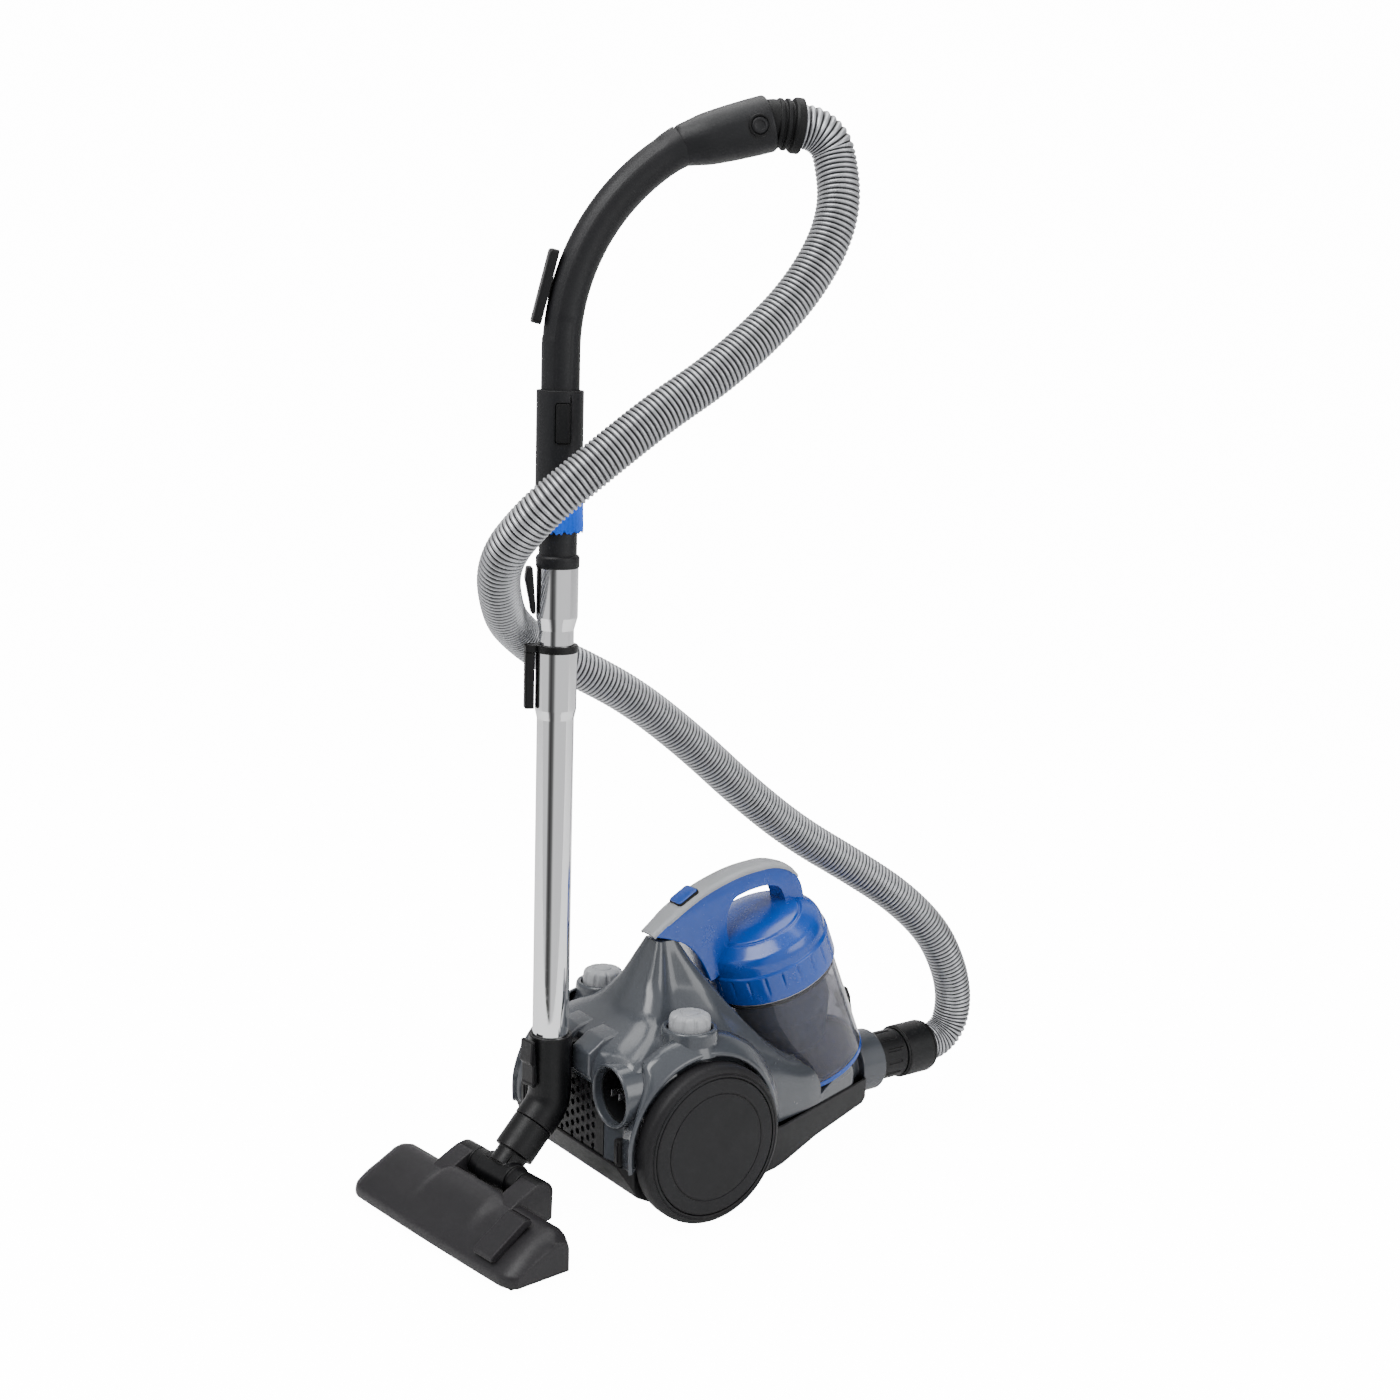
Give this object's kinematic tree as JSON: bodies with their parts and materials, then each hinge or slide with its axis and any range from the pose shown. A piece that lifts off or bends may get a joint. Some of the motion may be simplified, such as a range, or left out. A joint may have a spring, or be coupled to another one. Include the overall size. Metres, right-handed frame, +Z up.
{
  "type": "canister vacuum cleaner",
  "caption": "Bagless canister vacuum with big side wheels, leaning dust cup, ribbed hose looping to a telescopic wand, curved handle and floor head, wand parked upright.",
  "frame": {"origin": "middle of the footprint of everything except the hose, at floor level", "axes": "+X forward towards the hose inlet, +Y to the vacuum's left, +Z up"},
  "size_m": [0.7041, 0.273, 1.0566],
  "materials": {
    "casing_black": "moulded satin black",
    "casing_grey": "pearl slate grey, satin gloss",
    "wheel_charcoal": "fine matte texture",
    "roller_rubber": "matte",
    "steel": "turned",
    "motor_metal": "cast and turned",
    "spring_steel": "wound strip",
    "reel_plastic": "moulded natural",
    "cord_black": "satin",
    "knob_grey": "light grey satin",
    "blue_plastic": "blue gloss",
    "smoked_clear": "smoked clear polycarbonate",
    "cyclone_blue": "blue satin",
    "seal_rubber": "matte",
    "filter_white": "pleated fibre",
    "fitting_dark": "moulded satin",
    "tube_chrome": "polished",
    "handle_dark": "moulded satin",
    "brush_blue": "dense nylon bristle",
    "head_charcoal": "satin charcoal",
    "sole_black": "matte",
    "hose_silver": "ribbed silver grey"
  },
  "bodies": {
    "canister": {"lower_shell": "casing_black", "upper_shell": "casing_grey", "exhaust_grille": "casing_black", "exhaust_filter": "filter_white", "shell_screws": "steel", "motor": "motor_metal", "rewind_spring": "spring_steel", "plug_well": "casing_black", "axle_stubs": "steel", "inlet_port": "casing_grey", "hose_cuff": "fitting_dark", "hose_lower": "hose_silver"},
    "fan": {"impeller": "motor_metal"},
    "left_wheel": {"wheel_left": "wheel_charcoal", "hub_cap_left": "wheel_charcoal"},
    "right_wheel": {"wheel_right": "wheel_charcoal", "hub_cap_right": "wheel_charcoal"},
    "caster": {"caster_fork": "casing_black", "caster_axle": "steel"},
    "caster_roller": {"caster_wheel": "roller_rubber"},
    "reel": {"cord_reel": "reel_plastic", "wound_cord": "cord_black"},
    "cord_plug": {"plug": "cord_black", "plug_blades": "steel", "plug_lead": "cord_black"},
    "power_knob": {"power_button": "knob_grey"},
    "rewind_knob": {"rewind_button": "knob_grey"},
    "collar": {"swivel_collar": "fitting_dark"},
    "cup": {"dust_bin": "smoked_clear", "bin_seal": "seal_rubber", "cup_lid": "blue_plastic", "carry_handle": "blue_plastic", "handle_cover": "knob_grey", "cyclone": "cyclone_blue", "cup_filter": "filter_white"},
    "cup_release": {"cup_button": "blue_plastic"},
    "cup_door": {"bottom_door": "blue_plastic"},
    "catch": {"door_catch": "casing_black"},
    "lower_wand": {"lower_tube": "tube_chrome", "telescope_collar": "fitting_dark", "elbow": "fitting_dark"},
    "wand_latch": {"elbow_latch": "fitting_dark"},
    "length_slider": {"telescope_slider": "fitting_dark"},
    "upper_wand": {"upper_tube": "tube_chrome", "handle_tube": "handle_dark", "hose_collar": "fitting_dark", "hose_upper": "hose_silver"},
    "handle_latch": {"tube_latch": "fitting_dark"},
    "airflow": {"airflow_slider": "handle_dark"},
    "hose_release": {"hose_button": "handle_dark"},
    "dusting_brush": {"brush_sleeve": "fitting_dark", "brush_bristles": "brush_blue"},
    "brush_release": {"brush_button": "handle_dark"},
    "neck_joint": {"neck": "fitting_dark"},
    "floor_head": {"head_shell": "head_charcoal", "sole_plate": "sole_black", "neck_pin": "steel"},
    "pedal": {"foot_pedal": "head_charcoal"},
    "head_brush": {"floor_brush": "sole_black"},
    "rollers": {"head_rollers": "roller_rubber"}
  },
  "joints": [
    {"name": "left_wheel_spin", "type": "hinge", "parent": "canister", "child": "left_wheel", "pos_m": [-0.05326, 0.12451, 0.0795], "axis": [0, 1, 0], "continuous": true},
    {"name": "right_wheel_spin", "type": "hinge", "parent": "canister", "child": "right_wheel", "pos_m": [-0.05326, -0.10549, 0.0795], "axis": [0, 1, 0], "continuous": true},
    {"name": "caster_swivel", "type": "hinge", "parent": "canister", "child": "caster", "pos_m": [0.15874, 0.00951, 0.03], "axis": [0, 0, 1], "continuous": true},
    {"name": "caster_spin", "type": "hinge", "parent": "caster", "child": "caster_roller", "pos_m": [0.14474, 0.00951, 0.013], "axis": [0, 1, 0], "continuous": true},
    {"name": "fan_spin", "type": "hinge", "parent": "canister", "child": "fan", "pos_m": [-0.05326, 0.02551, 0.084], "axis": [1, 0, 0], "continuous": true},
    {"name": "plug_pull", "type": "slide", "parent": "canister", "child": "cord_plug", "axis": [-1, 0, 0], "range_m": [0, 0.1]},
    {"name": "reel_turn", "type": "hinge", "parent": "canister", "child": "reel", "pos_m": [-0.04526, -0.06049, 0.08045], "axis": [0, -1, 0], "range_deg": [0, 118]},
    {"name": "power_press", "type": "slide", "parent": "canister", "child": "power_knob", "axis": [0, 0, -1], "range_m": [0, 0.004], "stiffness_N_per_m": 300, "springref_m": -0.002},
    {"name": "rewind_press", "type": "slide", "parent": "canister", "child": "rewind_knob", "axis": [0, 0, -1], "range_m": [0, 0.004], "stiffness_N_per_m": 300, "springref_m": -0.002},
    {"name": "collar_turn", "type": "hinge", "parent": "canister", "child": "collar", "pos_m": [0.25674, 0.00951, 0.067], "axis": [1, 0, 0], "range_deg": [0, 40]},
    {"name": "cup_lift", "type": "slide", "parent": "canister", "child": "cup", "axis": [-0.3907, 0, 0.9205], "range_m": [0, 0.16]},
    {"name": "cup_press", "type": "slide", "parent": "cup", "child": "cup_release", "axis": [0.4899, 0, -0.8718], "range_m": [0, 0.003], "stiffness_N_per_m": 300, "springref_m": -0.002},
    {"name": "door_swing", "type": "hinge", "parent": "cup", "child": "cup_door", "pos_m": [0.08413, 0.00951, 0.06441], "axis": [0, 1, 0], "range_deg": [0, 24]},
    {"name": "catch_rock", "type": "hinge", "parent": "cup", "child": "catch", "pos_m": [0.20558, 0.00951, 0.1366], "axis": [0, -1, 0], "range_deg": [0, 4], "stiffness_Nm_per_rad": 0.2, "springref_deg": -5.73},
    {"name": "wand_lift", "type": "slide", "parent": "canister", "child": "lower_wand", "axis": [0, 0, 1], "range_m": [0, 0.04], "deforming": ["hose_lower"]},
    {"name": "wand_latch_rock", "type": "hinge", "parent": "lower_wand", "child": "wand_latch", "pos_m": [-0.18812, 0.00689, 0.131], "axis": [-0.1045, 0.9945, 0], "range_deg": [0, 3], "stiffness_Nm_per_rad": 0.5, "springref_deg": -2.86},
    {"name": "telescope", "type": "slide", "parent": "lower_wand", "child": "upper_wand", "axis": [0, 0, 1], "range_m": [0, 0.28], "deforming": ["hose_upper"]},
    {"name": "length_slider_slide", "type": "slide", "parent": "lower_wand", "child": "length_slider", "axis": [0, 0, -1], "range_m": [0, 0.006], "stiffness_N_per_m": 300, "springref_m": -0.002},
    {"name": "handle_latch_rock", "type": "hinge", "parent": "upper_wand", "child": "handle_latch", "pos_m": [-0.18382, 0.01866, 0.588], "axis": [0.4067, 0.9135, 0], "range_deg": [0, 3], "stiffness_Nm_per_rad": 0.5, "springref_deg": -2.86},
    {"name": "airflow_slide", "type": "slide", "parent": "upper_wand", "child": "airflow", "axis": [0.221, -0.0984, 0.9703], "range_m": [0, 0.012]},
    {"name": "hose_release_press", "type": "slide", "parent": "upper_wand", "child": "hose_release", "axis": [0.4067, 0.9135, 0], "range_m": [0, 0.002], "stiffness_N_per_m": 300, "springref_m": -0.002},
    {"name": "brush_slide", "type": "slide", "parent": "upper_wand", "child": "dusting_brush", "axis": [0, 0, -1], "range_m": [0, 0.02]},
    {"name": "brush_release_press", "type": "slide", "parent": "dusting_brush", "child": "brush_release", "axis": [0.4067, 0.9135, 0], "range_m": [0, 0.001], "stiffness_N_per_m": 300, "springref_m": -0.002},
    {"name": "neck_swivel", "type": "hinge", "parent": "lower_wand", "child": "neck_joint", "pos_m": [-0.18225, 0.00751, 0.08791], "axis": [-0.7032, -0.0739, -0.7071], "range_deg": [-20, 20]},
    {"name": "neck_pitch", "type": "hinge", "parent": "neck_joint", "child": "floor_head", "pos_m": [-0.21896, 0.00365, 0.046], "axis": [0.1045, -0.9945, 0], "range_deg": [-5, 40]},
    {"name": "pedal_rock", "type": "hinge", "parent": "floor_head", "child": "pedal", "pos_m": [-0.25441, -0.08956, 0.047], "axis": [0.1045, -0.9945, 0], "range_deg": [0, 3.5]},
    {"name": "brush_drop", "type": "slide", "parent": "floor_head", "child": "head_brush", "axis": [0, 0, -1], "range_m": [0, 0.0045]},
    {"name": "roller_spin", "type": "hinge", "parent": "floor_head", "child": "rollers", "pos_m": [-0.22095, 0.00345, 0.008], "axis": [0.1045, -0.9945, 0], "continuous": true}
  ],
  "couplings": [
    {"joint": "reel_turn", "follows": "plug_pull", "rad_per_m": 20.28},
    {"joint": "door_swing", "follows": "cup_lift", "rad_per_m": 2.6},
    {"joint": "brush_drop", "follows": "pedal_rock", "m_per_rad": 0.073}
  ]
}
